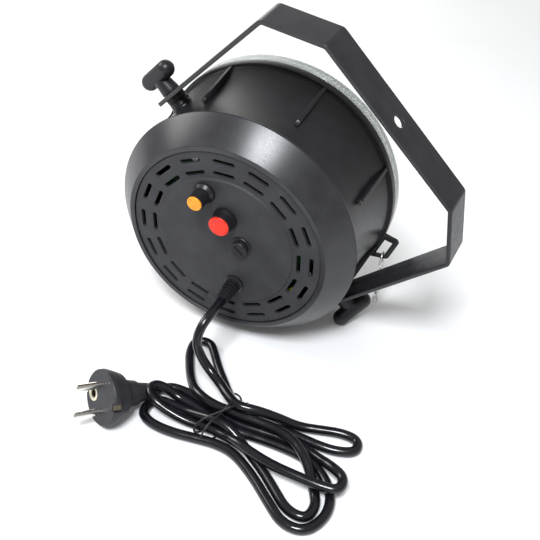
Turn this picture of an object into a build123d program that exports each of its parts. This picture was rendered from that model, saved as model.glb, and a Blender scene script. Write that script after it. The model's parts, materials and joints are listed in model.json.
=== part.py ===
from build123d import *
from math import atan2, cos, degrees, pi, radians, sin, tan
import os

os.makedirs("parts", exist_ok=True)

# ---------------------------------------------------------------- driving sizes, mm
# Heights along the lamp are measured from the rear panel (0) towards the front.
panel_r = 70.6          # textured rear panel
panel_t = 2.5
disc_r = 51.2           # raised middle of the panel
disc_rise = 1.5
slot_length = 15.4
slot_width = 3.1
slot_count = 16         # in each of the two rings
slot_rings = (54.8, 64.0)

lip_r = 74.6            # outer edge of the flat lip round the panel
ridge_r = 90.0          # widest line of the rear bezel
ridge_h = 17.0
bezel_end = 19.0
rim_r = 94.5            # front rim of the barrel
rim_low = 84.0
rim_h = 90.0

fin_r = 89.9            # outer edge of the eight fins, at their start
fin_end_r = 93.4        # and at the rim
fin_screw_r = 1.4
fin_start = 39.0
fin_t = 3.0
fin_count = 8

pivot_h = 58.5          # yoke pivot, along the lamp
boss_face = 92.4        # distance from the lamp axis to each pivot boss's face
boss_r = 7.4
yoke_half = 99.0        # distance from the lamp axis to an arm's outer face
yoke_t = 3.0
yoke_w = 25.0
yoke_end = 9.0          # each arm goes on past its pivot
yoke_end_r = 5.5
arm_length = 114.0      # pivot to the start of the sloping corner
base_height = 142.0     # pivot to the outer face of the base
base_half = 63.5
yoke_hole_r = 4.25
yoke_angle = -97.5      # arms from the lamp's forward direction at rest

stud_r = 4.0            # M8 tilt stud
knob_bar_r = 6.3
knob_bar_half = 10.7    # centre of the bar to the centre of each round end
knob_reach = 14.5       # arm's outer face to the centre line of the bar
knob_turns = {"left": 0.0, "right": 45.0}

cover_r = 94.0          # clear front cover
cover_skirt = 100.0
cover_neck_r = 91.5
cover_end_r = 83.0
cover_end = 176.0
cover_wall = 2.0

led_rings = ((22.0, 6), (44.0, 12), (66.0, 18))
lens_r = 7.0

lead_r = 3.3            # mains lead, 6.6 mm over the sheath
relief_length = 20.0    # strain relief, straight out of the panel

# The lamp lies on its ridge, its front rim and the lower tilt knob.
roll = 45.3             # turn about the lamp axis that brings that knob to the floor
tilt = degrees(atan2(rim_r - ridge_r, rim_h - ridge_h))
lift = ridge_r * cos(radians(tilt)) - ridge_h * sin(radians(tilt))
centre_x = 28.12        # lamp axis to the middle of the whole lamp's box
centre_y = 80.07

# ---------------------------------------------------------------- planes
forward = Vector(0, cos(radians(tilt)), sin(radians(tilt)))
downward = Vector(0, sin(radians(tilt)), -cos(radians(tilt)))
sideways = Vector(1, 0, 0)
pivot_dir = downward * cos(radians(roll)) + sideways * sin(radians(roll))
lamp = Plane(origin=(-centre_x, -centre_y, lift), x_dir=pivot_dir, z_dir=forward)
lamp_axis = Axis(lamp.origin, lamp.z_dir)
across = Plane(origin=lamp.origin, x_dir=lamp.x_dir, z_dir=-lamp.y_dir)  # x radius, y height

pivot_centre = lamp.origin + lamp.z_dir * pivot_h
arm_dir = lamp.z_dir * cos(radians(yoke_angle)) + lamp.y_dir * sin(radians(yoke_angle))
yoke_plane = Plane(origin=pivot_centre, x_dir=lamp.x_dir, z_dir=lamp.x_dir.cross(arm_dir))
pivot = {
    "left": Plane(origin=pivot_centre, x_dir=arm_dir, z_dir=-lamp.x_dir),
    "right": Plane(origin=pivot_centre, x_dir=arm_dir, z_dir=lamp.x_dir),
}


def at_lamp(x, y, h=0.0):
    """A plane parallel to the rear panel, at a place on it."""
    return Plane(
        origin=lamp.origin + lamp.x_dir * x + lamp.y_dir * y + lamp.z_dir * h,
        x_dir=lamp.x_dir,
        z_dir=lamp.z_dir,
    )


def behind_lamp(x, y, h=0.0):
    """The same plane, looking out of the back of the lamp."""
    return Plane(
        origin=lamp.origin + lamp.x_dir * x + lamp.y_dir * y + lamp.z_dir * h,
        x_dir=lamp.x_dir,
        z_dir=-lamp.z_dir,
    )


def beside(plane):
    """A plane through another one's axis: x is the radius and y the height along it."""
    return Plane(origin=plane.origin, x_dir=plane.x_dir, z_dir=-plane.y_dir)


def axis_of(plane):
    return Axis(plane.origin, plane.z_dir)


# Places of the controls on the rear panel, across the lamp and up it.
speed_at = (-37.0, -18.3)
sound_at = (-14.5, -16.7)
fuse_at = (8.1, -10.5)
gland_at = (29.3, 18.3)

# ---------------------------------------------------------------- rear shell
with BuildPart() as rear_panel:
    with BuildSketch(lamp):
        Circle(panel_r)
    extrude(amount=panel_t)
    with BuildSketch(lamp):
        Circle(disc_r)
    extrude(amount=-disc_rise, taper=30)
    for ring_r in slot_rings:
        with BuildSketch(lamp.offset(-1)):
            with PolarLocations(ring_r, slot_count):
                SlotOverall(slot_length, slot_width, rotation=90)
        extrude(amount=panel_t + 2, mode=Mode.SUBTRACT)
    for place, hole_r in ((speed_at, 3.6), (sound_at, 3.6), (fuse_at, 6.3), (gland_at, 4.6)):
        with BuildSketch(at_lamp(*place, -disc_rise - 1)):
            Circle(hole_r)
        extrude(amount=panel_t + disc_rise + 2, mode=Mode.SUBTRACT)
rear_panel.part.label = "rear_panel"
export_step(rear_panel.part, "parts/rear_panel.step")

with BuildPart() as rear_bezel:
    with BuildSketch(across):
        with BuildLine():
            Polyline(
                (panel_r + 0.1, -1.0),
                (lip_r - 0.8, -1.0),
                (lip_r, -0.3),
                (ridge_r - 0.2, ridge_h - 0.8),
                (ridge_r, ridge_h + 0.8),
                (ridge_r - 1.4, bezel_end),
                (84.6, bezel_end),
                (84.6, bezel_end + 6.0),
                (82.4, bezel_end + 6.0),
                (82.4, bezel_end - 1.6),
                (70.2, 5.0),
                (66.2, 5.0),
                (66.2, panel_t),
                (panel_r + 0.1, panel_t),
                close=True,
            )
        make_face()
    revolve(axis=lamp_axis)
rear_bezel.part.label = "rear_bezel"
export_step(rear_bezel.part, "parts/rear_bezel.step")

# ---------------------------------------------------------------- barrel
shelf_low = 77.0
shelf_h = 80.0
shelf_r = 82.0
seat_r = 88.6           # inside of the front rim
eye_angle = -23.6       # the safety eye stands beside the right arm
eye_low = 84.3
eye_t = 3.6
eye_outline = (
    (91.0, -12.2),
    (104.2, -13.4),
    (105.8, -11.5),
    (105.8, 5.2),
    (104.2, 7.4),
    (92.6, 13.0),
    (91.0, 13.0),
)
eye_window = ((95.5, -8.5), (101.8, -9.3), (101.8, 5.6), (95.5, 8.6))
eye_corner = (102.4, 7.0)      # middle of the corner the chain hangs from


def barrel_radial(angle):
    """A plane through the lamp axis, with x away from it at the given angle."""
    away = lamp.x_dir * cos(radians(angle)) + lamp.y_dir * sin(radians(angle))
    return Plane(origin=lamp.origin, x_dir=away, z_dir=away.cross(lamp.z_dir))


eye_flat = Plane(
    origin=lamp.origin + lamp.z_dir * eye_low,
    x_dir=barrel_radial(eye_angle).x_dir,
    z_dir=lamp.z_dir,
)

with BuildPart() as barrel:
    with BuildSketch(across):
        with BuildLine():
            ThreePointArc((87.3, bezel_end), (87.6, 52.0), (91.6, rim_low))
            Polyline(
                (91.6, rim_low),
                (rim_r - 0.4, rim_low),
                (rim_r, rim_h),
                (seat_r, rim_h),
                (seat_r, shelf_h),
                (shelf_r, shelf_h),
                (shelf_r, shelf_low),
                (88.2, shelf_low),
            )
            ThreePointArc((88.2, shelf_low), (85.2, 48.0), (84.9, bezel_end))
            Line((84.9, bezel_end), (87.3, bezel_end))
        make_face()
    revolve(axis=lamp_axis)
    for fin in range(fin_count):
        with BuildSketch(barrel_radial(22.5 + 45 * fin)):
            with BuildLine():
                Polyline(
                    (86.4, fin_start),
                    (fin_r, fin_start),
                    (fin_end_r, rim_low),
                    (90.0, rim_low),
                    close=True,
                )
            make_face()
        extrude(amount=fin_t / 2, both=True)
    for side in ("left", "right"):
        with BuildSketch(pivot[side].offset(84.0)):
            Circle(boss_r)
        extrude(amount=boss_face - 84.0)
        with BuildSketch(pivot[side].offset(73.0)):
            Circle(8.2)
        extrude(amount=13.0)
        with BuildSketch(pivot[side].offset(72.0)):
            Circle(5.6)
        extrude(amount=25.0, mode=Mode.SUBTRACT)
    with BuildSketch(eye_flat):
        with BuildLine():
            Polyline(*eye_outline, close=True)
        make_face()
        with BuildLine():
            Polyline(*eye_window, close=True)
        make_face(mode=Mode.SUBTRACT)
    extrude(amount=eye_t)
barrel.part.label = "barrel"
export_step(barrel.part, "parts/barrel.step")

with BuildPart() as fin_screws:
    for fin in range(fin_count):
        fin_plane = barrel_radial(22.5 + 45 * fin)
        head = Plane(
            origin=lamp.origin + fin_plane.x_dir * (fin_r - fin_screw_r) + lamp.z_dir * fin_start,
            x_dir=fin_plane.x_dir,
            z_dir=-lamp.z_dir,
        )
        with BuildSketch(head):
            Circle(fin_screw_r)
        extrude(amount=1.2)
fin_screws.part.label = "fin_screws"
export_step(fin_screws.part, "parts/fin_screws.step")

with BuildPart() as tilt_inserts:
    for side in ("left", "right"):
        with BuildSketch(pivot[side].offset(74.0)):
            Circle(5.6)
            Circle(4.0, mode=Mode.SUBTRACT)
        extrude(amount=17.0)
tilt_inserts.part.label = "tilt_inserts"
export_step(tilt_inserts.part, "parts/tilt_inserts.step")

with BuildPart() as tilt_washers:
    for side in ("left", "right"):
        with BuildSketch(pivot[side].offset(boss_face)):
            Circle(boss_r)
            Circle(4.2, mode=Mode.SUBTRACT)
        extrude(amount=yoke_half - yoke_t - 0.1 - boss_face)
tilt_washers.part.label = "tilt_washers"
export_step(tilt_washers.part, "parts/tilt_washers.step")

# ---------------------------------------------------------------- front
with BuildPart() as clear_cover:
    with BuildSketch(across):
        with BuildLine():
            Polyline(
                (86.2, 86.0),
                (88.4, 86.0),
                (88.4, rim_h),
                (cover_r, rim_h),
                (cover_r, cover_skirt - 1.0),
                (cover_r - 1.0, cover_skirt),
                (cover_neck_r, cover_skirt + 0.6),
                (cover_end_r, cover_end - 10.0),
            )
            ThreePointArc((cover_end_r, cover_end - 10.0), (80.2, cover_end - 2.9), (73.0, cover_end))
            Polyline(
                (73.0, cover_end),
                (0.0, cover_end),
                (0.0, cover_end - cover_wall),
                (72.8, cover_end - cover_wall),
            )
            ThreePointArc(
                (72.8, cover_end - cover_wall),
                (78.7, cover_end - 4.4),
                (81.0, cover_end - 10.2),
            )
            Polyline(
                (81.0, cover_end - 10.2),
                (89.4, cover_skirt - 0.2),
                (86.2, cover_skirt - 3.0),
                (86.2, 86.0),
            )
        make_face()
    revolve(axis=lamp_axis)
clear_cover.part.label = "clear_cover"
export_step(clear_cover.part, "parts/clear_cover.step")

with BuildPart() as heat_spreader:
    with BuildSketch(lamp.offset(shelf_h)):
        Circle(88.0)
    extrude(amount=2.0)
heat_spreader.part.label = "heat_spreader"
export_step(heat_spreader.part, "parts/heat_spreader.step")

with BuildPart() as led_board:
    with BuildSketch(lamp.offset(shelf_h + 2.0)):
        Circle(85.5)
    extrude(amount=1.6)
led_board.part.label = "led_board"
export_step(led_board.part, "parts/led_board.step")

with BuildPart() as led_chips:
    for ring_r, count in led_rings:
        with BuildSketch(lamp.offset(shelf_h + 3.6)):
            with PolarLocations(ring_r, count):
                Rectangle(3.5, 3.5)
        extrude(amount=1.2)
led_chips.part.label = "led_chips"
export_step(led_chips.part, "parts/led_chips.step")

with BuildPart() as lens_plate:
    with BuildSketch(lamp.offset(shelf_h + 3.6)):
        Circle(85.8)
        for ring_r, count in led_rings:
            with PolarLocations(ring_r, count):
                Circle(lens_r + 0.1, mode=Mode.SUBTRACT)
    extrude(amount=4.4)
lens_plate.part.label = "lens_plate"
export_step(lens_plate.part, "parts/lens_plate.step")

with BuildPart() as led_lenses:
    for ring_r, count in led_rings:
        with BuildSketch(lamp.offset(shelf_h + 5.0)):
            with PolarLocations(ring_r, count):
                Circle(lens_r)
        extrude(amount=5.0)
    fillet(led_lenses.edges().filter_by(GeomType.CIRCLE).group_by(lamp_axis)[-1], 2.4)
led_lenses.part.label = "led_lenses"
export_step(led_lenses.part, "parts/led_lenses.step")

# ---------------------------------------------------------------- electronics inside
board_h = 32.0
board_t = 1.6
pillar_r = 55.8
pillar_angles = (-178.0, -88.0, 2.0, 92.0)

with BuildPart() as driver_board:
    with BuildSketch(lamp.offset(board_h)):
        Circle(62.0)
    extrude(amount=board_t)
driver_board.part.label = "driver_board"
export_step(driver_board.part, "parts/driver_board.step")

with BuildPart() as board_pillars:
    for angle in pillar_angles:
        foot_at = (pillar_r * cos(radians(angle)), pillar_r * sin(radians(angle)))
        with BuildSketch(at_lamp(*foot_at, board_h + board_t)):
            RegularPolygon(3.4, 6)
        extrude(amount=shelf_h - board_h - board_t)
board_pillars.part.label = "board_pillars"
export_step(board_pillars.part, "parts/board_pillars.step")

with BuildPart() as pillar_screws:
    for angle in pillar_angles:
        foot_at = (pillar_r * cos(radians(angle)), pillar_r * sin(radians(angle)))
        with BuildSketch(at_lamp(*foot_at, board_h)):
            Circle(3.0)
        extrude(amount=-1.8)
pillar_screws.part.label = "pillar_screws"
export_step(pillar_screws.part, "parts/pillar_screws.step")

with BuildPart() as transformer:
    with BuildSketch(at_lamp(14.0, 8.0, board_h + board_t)):
        Rectangle(44.0, 36.0)
    extrude(amount=12.0)
    with BuildSketch(at_lamp(14.0, 8.0, board_h + board_t + 12.0)):
        Rectangle(30.0, 34.0)
    extrude(amount=20.0)
transformer.part.label = "transformer"
export_step(transformer.part, "parts/transformer.step")

with BuildPart() as capacitors:
    for spot in ((-24.0, 20.0), (-24.0, -2.0)):
        with BuildSketch(at_lamp(*spot, board_h + board_t)):
            Circle(8.0)
        extrude(amount=25.0)
capacitors.part.label = "capacitors"
export_step(capacitors.part, "parts/capacitors.step")

earth_wire_r = 1.3
earth_route = (
    (29.3, 18.3, 8.0),
    (44.0, 14.0, 8.6),
    (54.6, 2.0, 9.0),
    (57.0, -14.0, 9.0),
    (52.0, -28.0, 12.0),
)
with BuildPart() as earth_wire:
    with BuildLine() as earth_path:
        FilletPolyline(*[at_lamp(*point).origin for point in earth_route], radius=8.0)
    with BuildSketch(Plane(origin=earth_path.line @ 0, z_dir=earth_path.line % 0)):
        Circle(earth_wire_r)
    sweep()
earth_wire.part.label = "earth_wire"
export_step(earth_wire.part, "parts/earth_wire.step")

with BuildPart() as earth_tag:
    with BuildSketch(at_lamp(52.0, -28.0, 12.0)):
        Circle(4.0)
    extrude(amount=1.4)
    with BuildSketch(at_lamp(52.0, -28.0, 13.4)):
        Circle(2.6)
    extrude(amount=board_h - 13.4)
earth_tag.part.label = "earth_tag"
export_step(earth_tag.part, "parts/earth_tag.step")

# ---------------------------------------------------------------- controls
pots = {
    "speed": {"at": speed_at, "skirt_r": 7.6, "top_r": 5.7, "height": 16.4, "cap_r": 5.2},
    "sound": {"at": sound_at, "skirt_r": 8.7, "top_r": 7.8, "height": 11.4, "cap_r": 7.3},
}
for control, pot in pots.items():
    face = behind_lamp(*pot["at"])
    with BuildPart() as pot_body:
        with BuildSketch(face.offset(-panel_t)):
            Circle(8.2)
        extrude(amount=-8.5)
        with BuildSketch(face.offset(-panel_t)):
            Circle(3.5)
        extrude(amount=panel_t + 3.9)
        with BuildSketch(face.offset(-panel_t - 7.0)):
            Circle(3.05)
        extrude(amount=20.0, mode=Mode.SUBTRACT)
    pot_body.part.label = control + "_pot_body"
    export_step(pot_body.part, "parts/" + control + "_pot_body.step")

    with BuildPart() as pot_nut:
        with BuildSketch(face.offset(disc_rise)):
            RegularPolygon(5.4, 6)
            Circle(3.5, mode=Mode.SUBTRACT)
        extrude(amount=2.0)
    pot_nut.part.label = control + "_pot_nut"
    export_step(pot_nut.part, "parts/" + control + "_pot_nut.step")

    with BuildPart() as pot_shaft:
        with BuildSketch(face.offset(-panel_t - 6.8)):
            Circle(3.0)
        extrude(amount=panel_t + 6.8 + pot["height"] - 2.4)
    pot_shaft.part.label = control + "_pot_shaft"
    export_step(pot_shaft.part, "parts/" + control + "_pot_shaft.step")

    with BuildPart() as pot_knob:
        with BuildSketch(beside(face)):
            with BuildLine():
                Polyline(
                    (5.7, 2.0),
                    (pot["skirt_r"], 2.0),
                    (pot["skirt_r"], 4.4),
                    (pot["top_r"] + 0.3, 6.4),
                    (pot["top_r"], pot["height"]),
                    (pot["cap_r"], pot["height"]),
                    (pot["cap_r"], pot["height"] - 1.2),
                    (3.0, pot["height"] - 1.2),
                    (3.0, 4.2),
                    (5.7, 4.2),
                    close=True,
                )
            make_face()
        revolve(axis=axis_of(face))
    pot_knob.part.label = control + "_knob"
    export_step(pot_knob.part, "parts/" + control + "_knob.step")

    with BuildPart() as knob_cap:
        with BuildSketch(face.offset(pot["height"] - 1.2)):
            Circle(pot["cap_r"])
        extrude(amount=2.2)
        fillet(knob_cap.edges().group_by(axis_of(face))[-1], 0.7)
    knob_cap.part.label = control + "_knob_cap"
    export_step(knob_cap.part, "parts/" + control + "_knob_cap.step")

fuse_face = behind_lamp(*fuse_at)
with BuildPart() as fuse_holder:
    with BuildSketch(fuse_face.offset(-28.0)):
        Circle(6.2)
    extrude(amount=28.0 + disc_rise)
    with BuildSketch(fuse_face.offset(disc_rise)):
        Circle(7.8)
    extrude(amount=1.4)
    with BuildSketch(fuse_face.offset(-26.0)):
        Circle(4.6)
    extrude(amount=40.0, mode=Mode.SUBTRACT)
    outer_circles = fuse_holder.edges().filter_by(GeomType.CIRCLE).group_by(axis_of(fuse_face))[-1]
    chamfer(outer_circles.sort_by(SortBy.LENGTH)[-1], 0.5)
fuse_holder.part.label = "fuse_holder"
export_step(fuse_holder.part, "parts/fuse_holder.step")

with BuildPart() as fuse_cap:
    with BuildSketch(fuse_face.offset(disc_rise + 1.5)):
        Circle(5.8)
    extrude(amount=3.2)
    chamfer(fuse_cap.edges().group_by(axis_of(fuse_face))[-1], 0.6)
    with BuildSketch(fuse_face.offset(-2.0)):
        Circle(4.5)
    extrude(amount=disc_rise + 3.5)
    with BuildSketch(fuse_face.offset(disc_rise + 4.0)):
        Rectangle(8.0, 1.2)
    extrude(amount=2.0, mode=Mode.SUBTRACT)
fuse_cap.part.label = "fuse_cap"
export_step(fuse_cap.part, "parts/fuse_cap.step")

with BuildPart() as fuse_link:
    with BuildSketch(fuse_face.offset(-22.0)):
        Circle(2.6)
    extrude(amount=20.0)
fuse_link.part.label = "fuse_link"
export_step(fuse_link.part, "parts/fuse_link.step")

gland_face = behind_lamp(*gland_at)
with BuildPart() as gland_nut:
    with BuildSketch(gland_face.offset(-panel_t)):
        RegularPolygon(8.0, 6)
        Circle(4.6, mode=Mode.SUBTRACT)
    extrude(amount=-3.0)
gland_nut.part.label = "gland_nut"
export_step(gland_nut.part, "parts/gland_nut.step")

relief_steps = 5
with BuildPart() as strain_relief:
    with BuildSketch(beside(gland_face)):
        with BuildLine():
            Polyline(
                (0.0, -5.5),
                (4.6, -5.5),
                (4.6, disc_rise),
                (7.2, disc_rise),
                (7.2, disc_rise + 1.6),
                (6.0, disc_rise + 2.4),
                (4.4, disc_rise + relief_length),
                (0.0, disc_rise + relief_length),
                close=True,
            )
        make_face()
    revolve(axis=axis_of(gland_face))
    for step in range(relief_steps):
        with BuildSketch(gland_face.offset(disc_rise + 5.0 + 3.0 * step)):
            Circle(8.0)
            Circle(4.1, mode=Mode.SUBTRACT)
        extrude(amount=1.0, mode=Mode.SUBTRACT)
strain_relief.part.label = "strain_relief"
export_step(strain_relief.part, "parts/strain_relief.step")

# ---------------------------------------------------------------- yoke and tilt knobs
corner_mid = (yoke_half - yoke_t / 2, arm_length - 0.7)
base_mid = (base_half - 0.5, base_height - yoke_t / 2)
arm_mid = yoke_half - yoke_t / 2
strip_start = Plane(origin=pivot_centre + lamp.x_dir * arm_mid, x_dir=lamp.x_dir, z_dir=arm_dir)
with BuildPart() as yoke:
    with BuildLine(yoke_plane) as yoke_line:
        FilletPolyline(
            (arm_mid, 0.0),
            corner_mid,
            base_mid,
            (-base_mid[0], base_mid[1]),
            (-corner_mid[0], corner_mid[1]),
            (-arm_mid, 0.0),
            radius=4.0,
        )
    with BuildSketch(strip_start):
        Rectangle(yoke_t, yoke_w)
    sweep(path=yoke_line.line)
    for side in ("left", "right"):
        arm_inside = pivot[side].offset(yoke_half - yoke_t)
        with BuildSketch(Plane(origin=arm_inside.origin, x_dir=arm_dir, z_dir=arm_inside.z_dir)):
            RectangleRounded(2 * yoke_end, yoke_w, yoke_end_r)
        extrude(amount=yoke_t)
        with BuildSketch(pivot[side].offset(yoke_half - yoke_t - 1.0)):
            Circle(4.3)
        extrude(amount=yoke_t + 2.0, mode=Mode.SUBTRACT)
    base_plane = Plane(
        origin=pivot_centre + arm_dir * (base_height - yoke_t - 1.0),
        x_dir=lamp.x_dir,
        z_dir=arm_dir,
    )
    with BuildSketch(base_plane):
        Circle(yoke_hole_r)
    extrude(amount=yoke_t + 2.0, mode=Mode.SUBTRACT)
yoke.part.label = "yoke"
export_step(yoke.part, "parts/yoke.step")

for side, turn in knob_turns.items():
    face = pivot[side].offset(yoke_half + 0.1)
    toward = -1 if side == "right" else 1
    bar_dir = face.x_dir * cos(radians(turn)) + face.y_dir * sin(radians(turn)) * toward
    bar_centre = face.origin + face.z_dir * (knob_reach - 0.1)
    bar_plane = Plane(origin=bar_centre, x_dir=bar_dir, z_dir=bar_dir.cross(face.z_dir))
    with BuildPart() as tilt_knob:
        with BuildSketch(bar_plane):
            SlotCenterToCenter(2 * knob_bar_half, 2 * knob_bar_r)
            with Locations((0.0, -knob_bar_r)):
                Rectangle(4 * knob_bar_half, 2 * knob_bar_r, mode=Mode.SUBTRACT)
        revolve(axis=Axis(bar_centre, bar_dir))
        with BuildSketch(beside(face)):
            with BuildLine():
                Polyline(
                    (0.0, 0.0),
                    (6.9, 0.0),
                    (6.9, 1.4),
                    (5.3, knob_reach - 3.0),
                    (0.0, knob_reach - 3.0),
                    close=True,
                )
            make_face()
        revolve(axis=axis_of(face))
        with BuildSketch(face.offset(-1.0)):
            Circle(stud_r)
        extrude(amount=10.0, mode=Mode.SUBTRACT)
    tilt_knob.part.label = "tilt_knob_" + side
    export_step(tilt_knob.part, "parts/tilt_knob_" + side + ".step")

    with BuildPart() as tilt_stud:
        with BuildSketch(pivot[side].offset(76.0)):
            Circle(stud_r - 0.06)
        extrude(amount=yoke_half + 0.1 + 8.9 - 76.0)
    tilt_stud.part.label = "tilt_stud_" + side
    export_step(tilt_stud.part, "parts/tilt_stud_" + side + ".step")

# ---------------------------------------------------------------- safety chain
ring_major = 4.6
ring_minor = 0.7
ring_drop = 1.0         # the ring hangs round the eye's corner
ring_inset = 1.0
first_link = 1.6        # from the ring's centre line to the first link's centre
link_long = 7.0
link_wide = 4.2
link_wire = 1.1
link_count = 9
link_pitch = 4.4
chain_top = (
    eye_flat.origin
    + eye_flat.x_dir * eye_corner[0]
    + eye_flat.y_dir * eye_corner[1]
    + eye_flat.z_dir * eye_t / 2
)
ring_centre = chain_top - Vector(ring_inset, 0, ring_drop)
with BuildPart() as safety_chain:
    with BuildSketch(Plane(origin=ring_centre, x_dir=(0, 1, 0), z_dir=(0, 0, 1))):
        with Locations((ring_major, 0.0)):
            Circle(ring_minor)
    revolve(axis=Axis(ring_centre, (1, 0, 0)))
    for link in range(link_count):
        drop = ring_major + first_link + link_pitch * link
        facing = (0, 1, 0) if link % 2 == 0 else (1, 0, 0)
        link_plane = Plane(origin=ring_centre - Vector(0, 0, drop), x_dir=(0, 0, 1), z_dir=facing)
        with BuildSketch(link_plane):
            SlotOverall(link_long, link_wide)
            SlotOverall(
                link_long - 2 * link_wire,
                link_wide - 2 * link_wire,
                mode=Mode.SUBTRACT,
            )
        extrude(amount=link_wire / 2, both=True)
safety_chain.part.label = "safety_chain"
export_step(safety_chain.part, "parts/safety_chain.step")


# ---------------------------------------------------------------- mains lead, hank and plug
def on_floor(x, y, z=0.0):
    """A place measured from the floor under the middle of the rear panel."""
    return Vector(x - centre_x, y - centre_y, z)


lead_start = at_lamp(*gland_at, -disc_rise - relief_length).origin
lead_route = (
    lead_start,
    lead_start - lamp.z_dir * 12.0,
    on_floor(5.2, -41.2, 47.2),
    on_floor(6.0, -47.8, 37.3),
    on_floor(9.8, -49.2, 26.0),
    on_floor(17.5, -51.1, 18.5),
    on_floor(26.7, -56.4, 14.7),
    on_floor(37.1, -66.8, 15.8),
    on_floor(46.0, -73.5, 16.0),
)
lead_radii = []
for before, corner, after in zip(lead_route, lead_route[1:], lead_route[2:]):
    run_in = corner - before
    run_out = after - corner
    half_turn = radians(run_in.get_angle(run_out)) / 2
    lead_radii.append(0.45 * min(run_in.length, run_out.length) / tan(half_turn))
print("mains lead radii", [round(r, 1) for r in lead_radii])

with BuildPart() as mains_lead:
    with BuildLine() as lead_path:
        FilletPolyline(*lead_route, radius=lead_radii)
    with BuildSketch(Plane(origin=lead_path.line @ 0, z_dir=lead_path.line % 0)):
        Circle(lead_r)
    sweep()
mains_lead.part.label = "mains_lead"
export_step(mains_lead.part, "parts/mains_lead.step")
lead_length = sum(edge.length for edge in lead_path.edges())
print("mains lead length", round(lead_length, 1))
print("mains lead fill", round(mains_lead.part.volume / (pi * lead_r**2 * lead_length), 3))

# The coiled length is held as one flat bundle of loops gathered at the tie.
hank_lobes = (
    (
        14.5,
        (
            (36.0, -64.5),
            (58.0, -61.5),
            (78.0, -60.2),
            (98.0, -52.5),
            (116.0, -50.0),
            (128.5, -57.0),
            (121.0, -68.5),
            (114.0, -77.0),
            (128.0, -86.0),
            (128.5, -104.0),
            (128.0, -122.0),
            (118.5, -133.5),
            (106.0, -134.0),
            (91.0, -127.0),
            (73.0, -112.5),
            (55.0, -99.0),
            (42.0, -94.0),
            (30.0, -86.0),
        ),
    ),
    (
        13.4,
        (
            (50.0, -70.0),
            (30.0, -65.0),
            (8.0, -67.5),
            (-12.0, -72.0),
            (-17.6, -79.0),
            (-12.0, -91.5),
            (-2.0, -100.4),
            (13.5, -104.0),
            (30.0, -103.0),
            (50.0, -97.0),
            (56.0, -84.0),
        ),
    ),
    (
        7.4,
        (
            (44.0, -61.5),
            (25.0, -42.5),
            (16.5, -31.8),
            (6.0, -19.5),
            (-4.0, -12.0),
            (-11.0, -13.5),
            (-12.9, -23.0),
            (-9.0, -38.5),
            (-2.0, -53.0),
            (8.5, -65.0),
            (22.0, -71.5),
            (42.0, -74.0),
        ),
    ),
)
floor_plane = Plane(origin=on_floor(0, 0))
with BuildPart() as lead_hank:
    for lobe_height, outline in hank_lobes:
        with BuildSketch(floor_plane):
            with BuildLine():
                Spline(*outline, periodic=True)
            make_face()
        extrude(amount=lobe_height)
lead_hank.part.label = "lead_hank"
export_step(lead_hank.part, "parts/lead_hank.step")

tie_r = 0.8
tie_across = Vector(0.52, 0.85, 0).normalized()
tie_centre = on_floor(39.5, -80.5)
tie_half = 18.2
tie_h = 20.4
with BuildPart() as twist_tie:
    with BuildLine() as tie_path:
        FilletPolyline(
            tie_centre - tie_across * tie_half + Vector(0, 0, 1.0),
            tie_centre - tie_across * tie_half + Vector(0, 0, tie_h),
            tie_centre + tie_across * tie_half + Vector(0, 0, tie_h),
            tie_centre + tie_across * tie_half + Vector(0, 0, 1.0),
            radius=5.0,
        )
    with BuildSketch(Plane(origin=tie_path.line @ 0, z_dir=tie_path.line % 0)):
        Circle(tie_r)
    sweep()
twist_tie.part.label = "twist_tie"
export_step(twist_tie.part, "parts/twist_tie.step")

plug_r = 19.0
pin_r = 2.4
pin_length = 19.0
pin_pitch = 19.0
earth_offset = 9.4      # of the earth hole, from the line between the pins
earth_hole_r = 3.2
plug_turn = 239.0       # where the pins point, round from +X
plug_rise = 20.0        # and above the floor
plug_roll = 106.5       # of the line between the pins, from level
pins_dir = Vector(
    cos(radians(plug_rise)) * cos(radians(plug_turn)),
    cos(radians(plug_rise)) * sin(radians(plug_turn)),
    sin(radians(plug_rise)),
)
level_dir = Vector(0, 0, 1).cross(pins_dir).normalized()
pin_line = level_dir * cos(radians(plug_roll)) + pins_dir.cross(level_dir) * sin(radians(plug_roll))
plug_face = Plane(origin=on_floor(-35.5, -108.0, 19.5), x_dir=pin_line, z_dir=pins_dir)
plug_depth = 26.0
boot_end = 44.0

with BuildPart() as plug_body:
    with BuildSketch(beside(plug_face)):
        with BuildLine():
            Polyline(
                (0.0, 0.0),
                (plug_r - 1.0, 0.0),
                (plug_r, -1.2),
                (plug_r, -4.0),
                (17.2, -9.0),
                (15.0, -14.0),
                (10.4, -17.0),
                (8.6, -plug_depth),
                (0.0, -plug_depth),
                close=True,
            )
        make_face()
    revolve(axis=axis_of(plug_face))
    with BuildSketch(plug_face.offset(-6.0)):
        with PolarLocations(plug_r - 1.0, 2, start_angle=90):
            Rectangle(4.4, 5.4)
        with Locations((0.0, earth_offset)):
            Circle(earth_hole_r)
    extrude(amount=8.0, mode=Mode.SUBTRACT)
plug_body.part.label = "plug_body"
export_step(plug_body.part, "parts/plug_body.step")

with BuildPart() as plug_boot:
    with BuildSketch(beside(plug_face)):
        with BuildLine():
            Polyline(
                (0.0, -plug_depth),
                (7.4, -plug_depth),
                (4.4, -boot_end),
                (0.0, -boot_end),
                close=True,
            )
        make_face()
    revolve(axis=axis_of(plug_face))
plug_boot.part.label = "plug_boot"
export_step(plug_boot.part, "parts/plug_boot.step")

with BuildPart() as plug_pins:
    with BuildSketch(plug_face):
        with Locations((-pin_pitch / 2, 0.0), (pin_pitch / 2, 0.0)):
            Circle(pin_r)
    extrude(amount=pin_length)
    chamfer(plug_pins.edges().group_by(axis_of(plug_face))[-1], 0.8)
plug_pins.part.label = "plug_pins"
export_step(plug_pins.part, "parts/plug_pins.step")

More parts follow.
